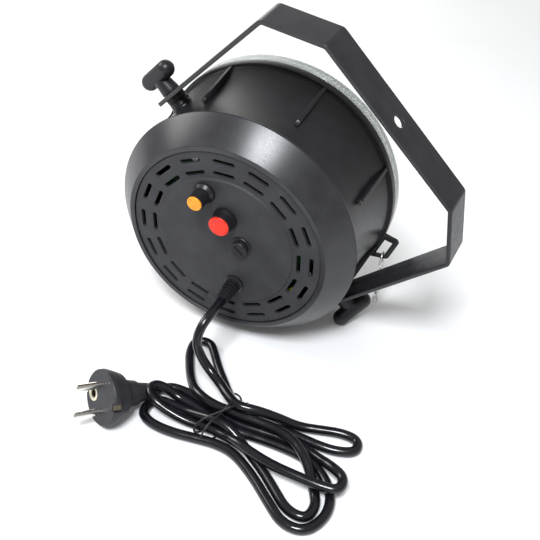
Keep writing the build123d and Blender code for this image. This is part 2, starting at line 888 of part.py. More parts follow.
with BuildPart() as plug_earth:
    with BuildSketch(plug_face.offset(-6.0)):
        with PolarLocations(plug_r - 2.2, 2, start_angle=90):
            Rectangle(1.2, 4.0)
        with Locations((0.0, earth_offset)):
            Circle(earth_hole_r - 0.1)
            Circle(earth_hole_r - 0.7, mode=Mode.SUBTRACT)
    extrude(amount=5.6)
plug_earth.part.label = "plug_earth_contacts"
export_step(plug_earth.part, "parts/plug_earth_contacts.step")
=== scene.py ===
import json
from math import cos, pi, radians, sin, tan, tau

import bmesh
import bpy
from mathutils import Matrix, Vector


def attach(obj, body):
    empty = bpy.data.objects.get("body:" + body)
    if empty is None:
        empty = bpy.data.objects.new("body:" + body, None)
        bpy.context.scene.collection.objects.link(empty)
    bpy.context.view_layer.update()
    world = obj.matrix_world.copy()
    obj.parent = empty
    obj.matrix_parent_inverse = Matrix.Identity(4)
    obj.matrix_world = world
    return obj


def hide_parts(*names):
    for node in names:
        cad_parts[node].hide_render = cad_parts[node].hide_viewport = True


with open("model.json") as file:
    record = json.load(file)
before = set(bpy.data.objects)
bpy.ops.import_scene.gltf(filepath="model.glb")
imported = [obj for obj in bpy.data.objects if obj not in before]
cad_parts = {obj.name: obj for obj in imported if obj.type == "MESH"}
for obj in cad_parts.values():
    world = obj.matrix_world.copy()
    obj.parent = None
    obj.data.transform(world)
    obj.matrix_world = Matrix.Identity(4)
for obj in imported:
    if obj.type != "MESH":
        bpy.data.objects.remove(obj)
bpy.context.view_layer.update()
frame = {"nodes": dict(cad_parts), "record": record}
print("frame loaded, nodes:", len(frame["nodes"]))


# where the lamp lies: its own axes come from the joints, lengths in millimetres
joints = {joint["name"]: joint for joint in frame["record"]["behaviour"]["joints"]}
mounts = {mount["name"]: mount for mount in frame["record"]["mounts"]}
mm = 0.001
pivotHeight = 58.5  # yoke pivot, from the rear panel


# a matrix that takes local millimetres to the frame's metres
def axes(origin, x, z):
    turn = Matrix((x, z.cross(x), z)).transposed().to_4x4()
    return Matrix.Translation(origin) @ turn @ Matrix.Scale(mm, 4)


def jointPlace(name):
    return Vector(joints[name]["pos_m"])


def jointAxis(name):
    return Vector(joints[name]["axis"]).normalized()


pivotCentre = jointPlace("yoke_tilt")
lampAcross = jointAxis("yoke_tilt")
lampForward = -jointAxis("speed_knob_turn")
lampOrigin = pivotCentre - lampForward * pivotHeight * mm
lamp = axes(lampOrigin, lampAcross, lampForward)
armWay = Vector(mounts["yoke_hole"]["axis"]).normalized()
yokeFrame = axes(pivotCentre, lampAcross, lampAcross.cross(armWay))


# camera
cameraView = {
    "place": (0.16261, -0.48049, 0.40593),
    "turn": (52.5075, -3.1974, 23.7204),
    "lens": 52.643,
}


def makeCamera(view):
    data = bpy.data.cameras.new("camera")
    data.lens = view["lens"]
    data.clip_start = 0.01
    camera = bpy.data.objects.new("camera", data)
    camera.location = view["place"]
    camera.rotation_euler = [radians(angle) for angle in view["turn"]]
    bpy.context.scene.collection.objects.link(camera)
    bpy.context.scene.camera = camera


makeCamera(cameraView)
print("camera set")


# finishes
# a material being wired: its shader, and a noise that reads the piece's own place
class Finish:
    def __init__(self, name):
        self.material = bpy.data.materials.new(name)
        self.material.use_nodes = True
        self.nodes = self.material.node_tree.nodes
        self.links = self.material.node_tree.links
        self.shader = self.nodes["Principled BSDF"]
        self.place = self.nodes.new("ShaderNodeTexCoord").outputs["Object"]

    def noise(self, size, detail=3.0, stretch=(1, 1, 1)):
        mapping = self.nodes.new("ShaderNodeMapping")
        mapping.inputs["Scale"].default_value = stretch
        self.links.new(self.place, mapping.inputs["Vector"])
        node = self.nodes.new("ShaderNodeTexNoise")
        node.inputs["Scale"].default_value = 1 / (size * mm)
        node.inputs["Detail"].default_value = detail
        self.links.new(mapping.outputs["Vector"], node.inputs["Vector"])
        return node.outputs["Fac"]

    def cells(self, size):
        node = self.nodes.new("ShaderNodeTexVoronoi")
        node.inputs["Scale"].default_value = 1 / (size * mm)
        self.links.new(self.place, node.inputs["Vector"])
        return node.outputs["Distance"]

    def ramp(self, value, low, high, start=0.35, end=0.65):
        node = self.nodes.new("ShaderNodeMapRange")
        node.inputs["From Min"].default_value = start
        node.inputs["From Max"].default_value = end
        node.inputs["To Min"].default_value = low
        node.inputs["To Max"].default_value = high
        self.links.new(value, node.inputs["Value"])
        return node.outputs["Result"]

    def tint(self, value, dark, light, start=0.3, end=0.7):
        node = self.nodes.new("ShaderNodeValToRGB")
        node.color_ramp.elements[0].position = start
        node.color_ramp.elements[1].position = end
        node.color_ramp.elements[0].color = (*dark, 1)
        node.color_ramp.elements[1].color = (*light, 1)
        self.links.new(value, node.inputs["Fac"])
        return node.outputs["Color"]

    def bump(self, value, depth, strength=1.0):
        node = self.nodes.new("ShaderNodeBump")
        node.inputs["Strength"].default_value = strength
        node.inputs["Distance"].default_value = depth * mm
        self.links.new(value, node.inputs["Height"])
        last = self.shader.inputs["Normal"]
        if last.is_linked:
            self.links.new(last.links[0].from_socket, node.inputs["Normal"])
        self.links.new(node.outputs["Normal"], last)

    def colour(self, socket):
        self.links.new(socket, self.shader.inputs["Base Color"])

    def rough(self, socket):
        self.links.new(socket, self.shader.inputs["Roughness"])

    def set(self, **values):
        for name, value in values.items():
            self.shader.inputs[name.replace("_", " ")].default_value = value
        return self


def mouldedPlastic(name, dark, light, rough, grain=0.35, depth=0.012, coat=0.0):
    finish = Finish(name)
    cloud = finish.noise(14, 4)
    finish.colour(finish.tint(cloud, dark, light))
    finish.rough(finish.ramp(finish.noise(1.5, 5), rough - 0.02, rough + 0.05))
    finish.bump(finish.noise(grain, 2), depth)
    finish.set(Coat_Weight=coat, Coat_Roughness=0.12, Specular_IOR_Level=0.35)
    return finish.material


def metal(name, dark, light, rough, grain=(1, 1, 1), size=1.2):
    finish = Finish(name)
    finish.colour(finish.tint(finish.noise(6, 4), dark, light))
    finish.rough(finish.ramp(finish.noise(size, 4, grain), rough - 0.08, rough + 0.1))
    finish.bump(finish.noise(size, 3, grain), 0.006)
    finish.set(Metallic=1.0)
    return finish.material


# fine leather grain moulded into the rear panel
def panelLeather():
    finish = Finish("panelGrain")
    finish.colour(finish.tint(finish.noise(20, 4), (0.026, 0.026, 0.029), (0.04, 0.04, 0.044)))
    finish.rough(finish.ramp(finish.noise(1.1, 3), 0.5, 0.66))
    finish.set(Specular_IOR_Level=0.3)
    finish.bump(finish.cells(0.8), 0.05, 0.4)
    finish.bump(finish.noise(0.35, 2), 0.02, 0.4)
    return finish.material


# smoother plastic of the sloping band, with faint marks from handling
def glossyBand():
    finish = Finish("bandBlack")
    finish.colour(finish.tint(finish.noise(12, 4), (0.015, 0.015, 0.018), (0.024, 0.024, 0.028)))
    finish.rough(finish.ramp(finish.noise(0.9, 4), 0.27, 0.36, 0.3, 0.75))
    finish.bump(finish.noise(0.5, 2), 0.006)
    finish.bump(finish.noise(16, 2, (1, 0.12, 0.12)), 0.1, 0.25)
    return finish.material


# satin black paint on the steel strip, a little orange-peeled
def powderCoat():
    finish = Finish("powderCoat")
    finish.colour(finish.tint(finish.noise(16, 4), (0.012, 0.012, 0.014), (0.02, 0.02, 0.023)))
    finish.rough(finish.ramp(finish.noise(4, 4), 0.32, 0.42))
    finish.bump(finish.noise(0.7, 2), 0.02, 0.5)
    return finish.material


def clearPlastic(name, tint, alpha, rough):
    finish = Finish(name)
    finish.colour(finish.tint(finish.noise(30, 2), tint, [min(1, c * 1.04) for c in tint]))
    finish.rough(finish.ramp(finish.noise(9, 3), rough, rough + 0.04))
    finish.set(Alpha=alpha, IOR=1.49)
    return finish.material


# glossy flexible sheath, slightly uneven along its length
def cableSheath():
    finish = Finish("cableSheath")
    finish.colour(finish.tint(finish.noise(18, 3), (0.003, 0.003, 0.005), (0.008, 0.008, 0.011)))
    finish.rough(finish.ramp(finish.noise(6, 4), 0.13, 0.24))
    finish.bump(finish.noise(3.5, 3), 0.04, 0.4)
    return finish.material


def colouredCap(name, dark, light):
    finish = Finish(name)
    finish.colour(finish.tint(finish.noise(4, 3), dark, light))
    finish.rough(finish.ramp(finish.noise(2, 3), 0.28, 0.42))
    finish.bump(finish.noise(0.4, 2), 0.008)
    finish.set(Subsurface_Weight=0.05)
    return finish.material


# green and yellow earth wire
def stripedSleeve():
    finish = Finish("earthSleeve")
    wave = finish.nodes.new("ShaderNodeTexWave")
    wave.inputs["Scale"].default_value = 120
    finish.links.new(finish.place, wave.inputs["Vector"])
    finish.colour(finish.tint(wave.outputs["Fac"], (0.05, 0.25, 0.02), (0.75, 0.65, 0.03), 0.45, 0.55))
    finish.rough(finish.ramp(finish.noise(2, 3), 0.35, 0.45))
    return finish.material


shellBlack = mouldedPlastic("shellBlack", (0.007, 0.007, 0.008), (0.013, 0.013, 0.015), 0.33)
bandBlack = glossyBand()
knobBlack = mouldedPlastic("knobBlack", (0.008, 0.008, 0.01), (0.015, 0.015, 0.017), 0.34, 0.5)
plugGrey = mouldedPlastic("plugGrey", (0.018, 0.018, 0.022), (0.032, 0.032, 0.037), 0.5, 0.5, 0.02)
boardWhite = mouldedPlastic("boardWhite", (0.72, 0.73, 0.72), (0.85, 0.85, 0.84), 0.35)
boardGreen = mouldedPlastic("boardGreen", (0.01, 0.10, 0.03), (0.02, 0.17, 0.05), 0.3)
canSleeve = mouldedPlastic("canSleeve", (0.02, 0.025, 0.08), (0.04, 0.045, 0.12), 0.3)
ironCore = mouldedPlastic("ironCore", (0.08, 0.075, 0.07), (0.16, 0.15, 0.14), 0.5)
phosphor = colouredCap("phosphor", (0.75, 0.62, 0.12), (0.9, 0.8, 0.3))
panelFinish = panelLeather()
yokeFinish = powderCoat()
sheath = cableSheath()
yellowCap = colouredCap("yellowCap", (0.75, 0.25, 0.003), (0.9, 0.36, 0.008))
redCap = colouredCap("redCap", (0.7, 0.012, 0.003), (0.85, 0.03, 0.006))
zinc = metal("zinc", (0.55, 0.55, 0.53), (0.72, 0.72, 0.70), 0.3)
brass = metal("brass", (0.55, 0.38, 0.14), (0.72, 0.52, 0.22), 0.3)
nickel = metal("nickel", (0.72, 0.70, 0.66), (0.88, 0.86, 0.80), 0.18)
sheetAluminium = metal("sheetAluminium", (0.6, 0.6, 0.61), (0.75, 0.75, 0.76), 0.35)
coverClear = clearPlastic("coverClear", (0.86, 0.9, 0.88), 0.05, 0.04)
skirtClear = clearPlastic("skirtClear", (0.13, 0.17, 0.15), 0.5, 0.1)
agedContact = metal("agedContact", (0.12, 0.10, 0.07), (0.22, 0.19, 0.14), 0.5)
creamInsert = mouldedPlastic("creamInsert", (0.62, 0.58, 0.42), (0.78, 0.74, 0.58), 0.4)
darkSteel = metal("darkSteel", (0.18, 0.18, 0.18), (0.3, 0.3, 0.29), 0.35)
washerBlack = metal("washerBlack", (0.02, 0.02, 0.022), (0.05, 0.05, 0.05), 0.4)
lensClear = clearPlastic("lensClear", (0.85, 0.9, 0.92), 0.35, 0.04)
earthSleeve = stripedSleeve()
print("finishes made:", len(bpy.data.materials))


# making meshes
def newPiece(name, mesh, finish=None, smooth=True):
    for polygon in mesh.polygons:
        polygon.use_smooth = smooth
    piece = bpy.data.objects.new(name, mesh)
    if finish and not mesh.materials:
        mesh.materials.append(finish)
    bpy.context.scene.collection.objects.link(piece)
    return piece


# the outline again, with an arc at each corner that gives a radius as its third number
def roundCorners(outline, steps=4):
    points = []
    count = len(outline)
    for i, corner in enumerate(outline):
        at = Vector(corner[:2])
        if len(corner) < 3:
            points.append(at)
            continue
        before = (Vector(outline[i - 1][:2]) - at).normalized()
        after = (Vector(outline[(i + 1) % count][:2]) - at).normalized()
        half = before.angle(after) / 2
        centre = at + (before + after).normalized() * corner[2] / sin(half)
        first = at + before * corner[2] / tan(half) - centre
        turn = before.angle_signed(after)
        sweep = (pi - 2 * half) * (1 if turn < 0 else -1)
        for k in range(steps + 1):
            angle = sweep * k / steps
            points.append(centre + Matrix.Rotation(-angle, 2) @ first)
    return points


# turns an outline of (radius, height) about the frame's own axis
def lathe(name, outline, place, finish, steps=128, closed=True):
    shape = bmesh.new()
    points = roundCorners(outline) if closed else [Vector(p[:2]) for p in outline]
    rings = []
    for point in points:
        if point.x < 1e-6:
            rings.append([shape.verts.new((0, 0, point.y))])
            continue
        turns = [tau * k / steps for k in range(steps)]
        rings.append([shape.verts.new((point.x * cos(t), point.x * sin(t), point.y)) for t in turns])
    pairs = list(zip(rings, rings[1:] + (rings[:1] if closed else [])))
    for low, high in pairs:
        if len(low) == 1 and len(high) == 1:
            continue
        for k in range(steps):
            n = (k + 1) % steps
            corners = [low[k % len(low)], low[n % len(low)], high[n % len(high)], high[k % len(high)]]
            shape.faces.new(list(dict.fromkeys(corners)))
    bmesh.ops.recalc_face_normals(shape, faces=shape.faces)
    shape.transform(place)
    mesh = bpy.data.meshes.new(name)
    shape.to_mesh(mesh)
    shape.free()
    return newPiece(name, mesh, finish)


# a flat plate of an outline with holes, with its edges rounded over
def plate(name, outline, holes, low, high, place, finish, edge=0.4):
    curve = bpy.data.curves.new(name, "CURVE")
    curve.dimensions = "2D"
    curve.fill_mode = "BOTH"
    for loop in [outline, *holes]:
        spline = curve.splines.new("POLY")
        spline.points.add(len(loop) - 1)
        for point, (x, y) in zip(spline.points, loop):
            point.co = (x, y, 0, 1)
        spline.use_cyclic_u = True
    curve.extrude = (high - low) / 2 - edge
    curve.bevel_depth = edge
    curve.offset = -edge
    curve.bevel_resolution = 3
    carrier = bpy.data.objects.new(name + "Curve", curve)
    mesh = bpy.data.meshes.new_from_object(carrier)
    bpy.data.objects.remove(carrier)
    shape = bmesh.new()
    shape.from_mesh(mesh)
    bmesh.ops.remove_doubles(shape, verts=shape.verts, dist=0.002)
    bmesh.ops.recalc_face_normals(shape, faces=shape.faces)
    shape.transform(place @ Matrix.Translation((0, 0, (low + high) / 2)))
    shape.to_mesh(mesh)
    shape.free()
    mesh.materials.clear()
    return newPiece(name, mesh, finish)


# points round a circle or along a part of one
def ringPoints(radius, count=40, start=0.0, end=tau, centre=(0, 0)):
    last = count if abs(end - start) > tau - 1e-6 else count - 1
    angles = [start + (end - start) * k / last for k in range(count)]
    return [(centre[0] + radius * cos(a), centre[1] + radius * sin(a)) for a in angles]


# sharp edges where two faces turn by more than the angle
def autoSmooth(piece, angle=35):
    shape = bmesh.new()
    shape.from_mesh(piece.data)
    for edge in shape.edges:
        edge.smooth = len(edge.link_faces) == 2 and edge.calc_face_angle(0) < radians(angle)
    shape.to_mesh(piece.data)
    shape.free()
    return piece


# several finished pieces as one mesh, with their finishes kept
def joinMeshes(name, pieces):
    shape = bmesh.new()
    finishes = []
    for piece in pieces:
        for finish in piece.data.materials:
            if finish not in finishes:
                finishes.append(finish)
    for piece in pieces:
        first = len(shape.faces)
        shape.from_mesh(piece.data)
        shape.faces.ensure_lookup_table()
        kinds = [finishes.index(finish) for finish in piece.data.materials]
        for face in shape.faces[first:]:
            face.material_index = kinds[min(face.material_index, len(kinds) - 1)]
    mesh = bpy.data.meshes.new(name)
    shape.to_mesh(mesh)
    shape.free()
    for finish in finishes:
        mesh.materials.append(finish)
    for piece in pieces:
        bpy.data.objects.remove(piece)
    joined = bpy.data.objects.new(name, mesh)
    bpy.context.scene.collection.objects.link(joined)
    return joined


# geometry nodes for what repeats: a tree with named inputs and one output
def geometryTree(name, inputs):
    tree = bpy.data.node_groups.new(name, "GeometryNodeTree")
    tree.interface.new_socket(name="Geometry", in_out="INPUT", socket_type="NodeSocketGeometry")
    for label, kind in inputs.items():
        tree.interface.new_socket(name=label, in_out="INPUT", socket_type="NodeSocket" + kind)
    tree.interface.new_socket(name="Geometry", in_out="OUTPUT", socket_type="NodeSocketGeometry")
    return tree, tree.nodes.new("NodeGroupInput"), tree.nodes.new("NodeGroupOutput")


def mathNode(tree, operation, first, second):
    node = tree.nodes.new("ShaderNodeMath")
    node.operation = operation
    for socket, value in zip(node.inputs, (first, second)):
        if hasattr(value, "node"):
            tree.links.new(value, socket)
        else:
            socket.default_value = value
    return node.outputs[0]


# copies of the input piece round the lamp's axis, each turned to face outwards
def makeRingTree():
    tree, given, result = geometryTree(
        "copiesOnRing",
        {"Count": "Int", "Radius": "Float", "Start angle": "Float", "Height": "Float", "Finish": "Material"},
    )
    circle = tree.nodes.new("GeometryNodeMeshCircle")
    tree.links.new(given.outputs["Count"], circle.inputs["Vertices"])
    tree.links.new(given.outputs["Radius"], circle.inputs["Radius"])
    copies = tree.nodes.new("GeometryNodeInstanceOnPoints")
    tree.links.new(circle.outputs["Mesh"], copies.inputs["Points"])
    tree.links.new(given.outputs["Geometry"], copies.inputs["Instance"])
    index = tree.nodes.new("GeometryNodeInputIndex").outputs[0]
    step = mathNode(tree, "DIVIDE", tau, given.outputs["Count"])
    facing = tree.nodes.new("ShaderNodeCombineXYZ")
    tree.links.new(mathNode(tree, "MULTIPLY", index, step), facing.inputs["Z"])
    tree.links.new(facing.outputs[0], copies.inputs["Rotation"])
    move = tree.nodes.new("GeometryNodeTransform")
    turn = tree.nodes.new("ShaderNodeCombineXYZ")
    lift = tree.nodes.new("ShaderNodeCombineXYZ")
    tree.links.new(given.outputs["Start angle"], turn.inputs["Z"])
    tree.links.new(given.outputs["Height"], lift.inputs["Z"])
    tree.links.new(turn.outputs[0], move.inputs["Rotation"])
    tree.links.new(lift.outputs[0], move.inputs["Translation"])
    tree.links.new(copies.outputs[0], move.inputs["Geometry"])
    finishTree(tree, move.outputs[0], given.outputs["Finish"], result)
    return tree


def finishTree(tree, geometry, finish, result):
    real = tree.nodes.new("GeometryNodeRealizeInstances")
    paint = tree.nodes.new("GeometryNodeSetMaterial")
    tree.links.new(geometry, real.inputs["Geometry"])
    tree.links.new(real.outputs["Geometry"], paint.inputs["Geometry"])
    tree.links.new(finish, paint.inputs["Material"])
    tree.links.new(paint.outputs["Geometry"], result.inputs["Geometry"])


# the input plate, less the cutter at every place on two rings
def makePunchTree():
    labels = {
        "Cutter": "Object",
        "Count": "Int",
        "Inner ring": "Float",
        "Outer ring": "Float",
        "Finish": "Material",
    }
    tree, given, result = geometryTree("punchedSlots", labels)
    cutter = tree.nodes.new("GeometryNodeObjectInfo")
    tree.links.new(given.outputs["Cutter"], cutter.inputs["Object"])
    index = tree.nodes.new("GeometryNodeInputIndex").outputs[0]
    step = mathNode(tree, "DIVIDE", tau, given.outputs["Count"])
    facing = tree.nodes.new("ShaderNodeCombineXYZ")
    tree.links.new(mathNode(tree, "MULTIPLY", index, step), facing.inputs["Z"])
    cut = tree.nodes.new("GeometryNodeMeshBoolean")
    cut.operation = "DIFFERENCE"
    cut.solver = "EXACT"
    tree.links.new(given.outputs["Geometry"], cut.inputs["Mesh 1"])
    for ring in ("Inner ring", "Outer ring"):
        circle = tree.nodes.new("GeometryNodeMeshCircle")
        tree.links.new(given.outputs["Count"], circle.inputs["Vertices"])
        tree.links.new(given.outputs[ring], circle.inputs["Radius"])
        copies = tree.nodes.new("GeometryNodeInstanceOnPoints")
        tree.links.new(circle.outputs["Mesh"], copies.inputs["Points"])
        tree.links.new(cutter.outputs["Geometry"], copies.inputs["Instance"])
        tree.links.new(facing.outputs[0], copies.inputs["Rotation"])
        real = tree.nodes.new("GeometryNodeRealizeInstances")
        tree.links.new(copies.outputs[0], real.inputs[0])
        tree.links.new(real.outputs[0], cut.inputs["Mesh 2"])
    finishTree(tree, cut.outputs["Mesh"], given.outputs["Finish"], result)
    return tree


# runs a node tree on a piece, and keeps the result as a plain mesh in its place
def grow(name, source, tree, values, place):
    modifier = source.modifiers.new("grow", "NODES")
    modifier.node_group = tree
    for item in tree.interface.items_tree:
        if item.in_out == "INPUT" and item.name in values:
            modifier[item.identifier] = values[item.name]
    bpy.context.view_layer.update()
    mesh = bpy.data.meshes.new_from_object(source.evaluated_get(bpy.context.evaluated_depsgraph_get()))
    source.modifiers.remove(modifier)
    bpy.data.objects.remove(source)
    mesh.name = name
    mesh.transform(place)
    return newPiece(name, mesh)


ringTree = makeRingTree()
punchTree = makePunchTree()


# mains lead: one spline from the strain relief to the plug's boot
leadSizes = {
    "length": 1330.0,
    "diameter": 6.6,
    "start": (29.3, 18.3, -21.5),
    "straight": 12.0,
    "end": (-42.3, -152.7, 4.5),
    "on it": ["plug_body", "plug_boot", "plug_pins", "plug_earth_contacts"],
}
leadRoute = (
    # down to the floor, and over the bundle to its tie
    (-23, -123, 49), (-25, -129, 37), (-19, -131, 26), (-11, -133, 19), (-1, -138, 16), (9, -146, 16),
    (18, -151, 16),
    # first lobe to the right
    (31, -148, 15), (44, -142.5, 9), (58, -139, 3.5), (72, -135, 3.3), (86, -131, 3.3), (98, -132, 3.3),
    (100, -142, 3.3), (89, -147, 3.3), (77, -148, 3.3), (62, -147, 3.3), (47, -146.5, 3.3), (32, -147, 3.3),
    (19, -148.5, 3.3),
    # lobe towards the lamp
    (8, -138, 3.3), (-4, -125, 3.3), (-15, -113, 3.3), (-24, -101, 3.3), (-32, -92, 3.3), (-43, -95, 3.3),
    (-41, -108, 3.3), (-34, -121, 3.3), (-26, -134, 5), (-16, -146, 9.5), (-1, -152, 10), (17, -152.5, 10),
    # inner one of the two long lobes
    (32, -152.5, 10), (47, -152.5, 10), (60, -156, 10), (71, -164, 10), (79, -172, 6), (85, -181, 3.3),
    (91, -192, 3.3), (89, -204, 3.3), (76, -203, 3.3), (64, -193, 3.3), (52, -183, 3.3), (40, -175, 3.3),
    (29, -168, 4), (20, -165, 8.5),
    # low loop to the left
    (10, -163, 10), (-2, -162, 7), (-15, -160, 3.3), (-28, -159, 3.3), (-37, -159, 3.3), (-42, -166, 3.3),
    (-41, -175, 3.3), (-31, -180, 3.3), (-15, -180.5, 3.3), (1, -178, 3.3), (15, -176, 3.3), (29, -178, 3.3),
    # outer one of the two long lobes
    (47, -189, 3.3), (63, -202, 3.3), (77, -213, 3.3), (92, -212, 3.3), (99, -198, 3.3), (98, -184, 3.3),
    (91, -173, 3.3), (81, -165, 3.3), (68, -160.5, 3.3), (52, -159.5, 3.3), (34, -160, 3.3), (20, -161, 3.3),
    # upper loop to the left, over the plug's boot
    (10, -160, 3.3), (-1, -156.5, 3.3), (-14, -153, 3.3), (-26, -152, 4), (-34, -152, 9), (-42, -155, 13),
    (-43, -162, 13), (-36, -168, 12), (-24, -168.5, 7), (-10, -168, 3.3), (6, -166.5, 3.3),
    # lobe that crosses over the long ones
    (18, -169, 5), (29, -174, 10), (42, -178, 10), (57, -181, 10), (73, -182, 10), (89, -182.5, 10),
    (101, -181, 10), (101, -170, 10), (90, -165, 10), (80, -159, 5), (67, -154, 3.3), (51, -153, 3.3),
    (34, -154, 3.3), (18, -155, 3.3),
    # back under the bundle to the plug
    (3, -150, 3.3), (-13, -146, 3.3), (-27, -144, 3.3), (-36, -145, 3.3), (-40.5, -150, 3.6),
)


# a smooth round cord; the points, in metres, are its spline's own control points
def splineCurve(name, points, diameter, finish):
    curve = bpy.data.curves.new(name, "CURVE")
    curve.dimensions = "3D"
    spline = curve.splines.new("NURBS")
    spline.points.add(len(points) - 1)
    for control, point in zip(spline.points, points):
        control.co = (*point, 1)
    spline.order_u = 3
    spline.use_endpoint_u = True
    spline.resolution_u = 6
    curve.bevel_depth = diameter / 2
    curve.bevel_resolution = 5
    curve.use_fill_caps = True
    curve.materials.append(finish)
    piece = bpy.data.objects.new(name, curve)
    bpy.context.scene.collection.objects.link(piece)
    return piece


def makeLead(sizes):
    start = lamp @ Vector(sizes["start"])
    points = [start, start - lampForward * sizes["straight"] * mm]
    points += [Vector(point) * mm for point in (*leadRoute, sizes["end"])]
    lead = splineCurve("mainsLead", points, sizes["diameter"] * mm, sheath)
    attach(lead, "lamp")
    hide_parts("mains_lead", "lead_hank")


makeLead(leadSizes)
print("mains lead made, points:", len(leadRoute))


# twist tie: thin wire twice round the bundle, its two ends standing up
tieSizes = {
    "wire": 1.3,
    "centre": (11.4, -160.6),
    "across": (0.52, 0.85),
    "half": 18.0,
    "top": 18.6,
    "lean": 4.5,
}


def makeTie(sizes):
    along = Vector((*sizes["across"], 0)).normalized()
    aside = Vector((along.y, -along.x, 0))
    centre = Vector((*sizes["centre"], 0))
    half, top, lean = sizes["half"], sizes["top"], sizes["lean"]
    loop = [
        (half + 1, -lean, 9),
        (half * 0.55, -lean * 0.6, top + 1.5),
        (0, 0, 15.5),
        (-half * 0.6, lean * 0.5, 15),
        (-half - 1, lean, 9),
        (-half, lean, 0.9),
        (0, lean, 0.8),
        (half, lean, 0.9),
        (half + 1, lean, 9),
        (half * 0.55, lean * 0.4, top + 1.5),
        (0, 0, 17),
        (-half * 0.6, -lean * 0.6, 15.5),
        (-half - 1, -lean, 9),
        (-half, -lean, 0.9),
        (0, -lean, 0.8),
        (half, -lean, 0.9),
        (half + 1.5, -lean * 0.4, 9),
    ]
    ends = [(half + 1.6, lean * 0.3, 16), (half * 0.9, lean * 1.4, 19.5)]
    first = [(half * 0.8, -lean * 1.5, 19.5), (half + 1, -lean * 1.6, 15)]
    up = Vector((0, 0, 1))
    points = [(centre + along * a + aside * b + up * c) * mm for a, b, c in first + loop + ends]
    tie = splineCurve("twistTie", points, sizes["wire"] * mm, knobBlack)
    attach(tie, "lamp")
    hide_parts("twist_tie")


makeTie(tieSizes)
print("twist tie made")


# pale insert round the earth hole in the plug's face
plugSizes = {
    "face": (-63.62, -188.07, 19.5),
    "turn": 239.0,
    "rise": 20.0,
    "roll": 106.5,
    "offset": 9.4,
    "insert": (3.1, 5.3, 0.3),
    "depth": 0.6,
}


def makeInsert(sizes):
    turn, rise = radians(sizes["turn"]), radians(sizes["rise"])
    out = Vector((cos(rise) * cos(turn), cos(rise) * sin(turn), sin(rise)))
    level = Vector((-sin(turn), cos(turn), 0))
    roll = radians(sizes["roll"])
    betweenPins = level * cos(roll) + out.cross(level) * sin(roll)
    centre = Vector(sizes["face"]) + out.cross(betweenPins) * sizes["offset"]
    hole, edge, proud = sizes["insert"]
    outline = [
        (hole, -sizes["depth"]),
        (edge, -sizes["depth"]),
        (edge, proud, 0.3),
        (hole + 0.5, proud, 0.3),
        (hole, proud - 0.5),
    ]
    place = axes(centre * mm, level, out)
    insert = autoSmooth(lathe("plugInsert", outline, place, creamInsert, 48))
    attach(insert, "lamp")


makeInsert(plugSizes)
print("plug insert made")


# rear panel: raised middle, groove round it and two rings of slots
panelSizes = {
    "radius": 70.4,
    "thick": 2.5,
    "disc": 51.2,
    "rise": 1.5,
    "slot": (15.6, 3.1),
    "rings": (54.8, 64.0),
    "count": 16,
    "cut": (-4, 6),
}


def slotCutter(sizes):
    length, width = sizes["slot"]
    half = (length - width) / 2
    ends = ringPoints(width / 2, 9, 0, pi, (0, half)) + ringPoints(width / 2, 9, pi, tau, (0, -half))
    shape = bmesh.new()
    low, high = [[shape.verts.new((x, y, z)) for x, y in ends] for z in sizes["cut"]]
    shape.faces.new(low[::-1])
    shape.faces.new(high)
    for k in range(len(low)):
        n = (k + 1) % len(low)
        shape.faces.new((low[k], low[n], high[n], high[k]))
    mesh = bpy.data.meshes.new("slotCutter")
    shape.to_mesh(mesh)
    shape.free()
    return newPiece("slotCutter", mesh)


def makePanel(sizes):
    r, t, d, rise = sizes["radius"], sizes["thick"], sizes["disc"], sizes["rise"]
    outline = [(0, -rise), (d - 0.9, -rise, 0.8), (d, 0, 0.5), (r, 0, 0.3), (r, t), (0, t)]
    blank = lathe("panelBlank", outline, Matrix.Identity(4), panelFinish, 160)
    cutter = slotCutter(sizes)
    values = {
        "Cutter": cutter,
        "Count": sizes["count"],
        "Inner ring": sizes["rings"][0],
        "Outer ring": sizes["rings"][1],
        "Finish": panelFinish,
    }
    panel = grow("rearPanel", blank, punchTree, values, lamp)
    bpy.data.objects.remove(cutter)
    autoSmooth(panel, 30)
    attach(panel, "lamp")
    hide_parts("rear_panel")


makePanel(panelSizes)
print("rear panel made")


# rear bezel: flat lip, glossy sloping band and the ridge that the lamp lies on
bezelSizes = {
    "lip": (70.9, 74.4),
    "ridge": (90.0, 17.0),
    "end": 19.0,
    "spigot": (82.4, 84.6, 6.0),  # radii and length of the collar in the barrel
    "ledge": (66.3, 2.6, 5.0),  # radius and heights of the ring that carries the panel
}


def makeBezel(sizes):
    inner, lip = sizes["lip"]
    ridge, height = sizes["ridge"]
    end = sizes["end"]
    spigotIn, spigotOut, reach = sizes["spigot"]
    ledge, low, high = sizes["ledge"]
    outline = [
        (inner, -1.0, 0.3),
        (lip, -1.0, 0.7),
        (ridge - 0.1, height - 0.6, 1.0),
        (ridge, end - 1.0, 0.8),
        (ridge - 1.8, end),
        (spigotOut, end),
        (spigotOut, end + reach),
        (spigotIn, end + reach),
        (spigotIn, end - 1.6),
        (inner - 0.5, high),
        (ledge, high),
        (ledge, low),
        (inner, low),
    ]
    bezel = lathe("rearBezel", outline, lamp, bandBlack, 192)
    autoSmooth(bezel, 28)
    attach(bezel, "lamp")
    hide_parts("rear_bezel")


makeBezel(bezelSizes)
print("rear bezel made")


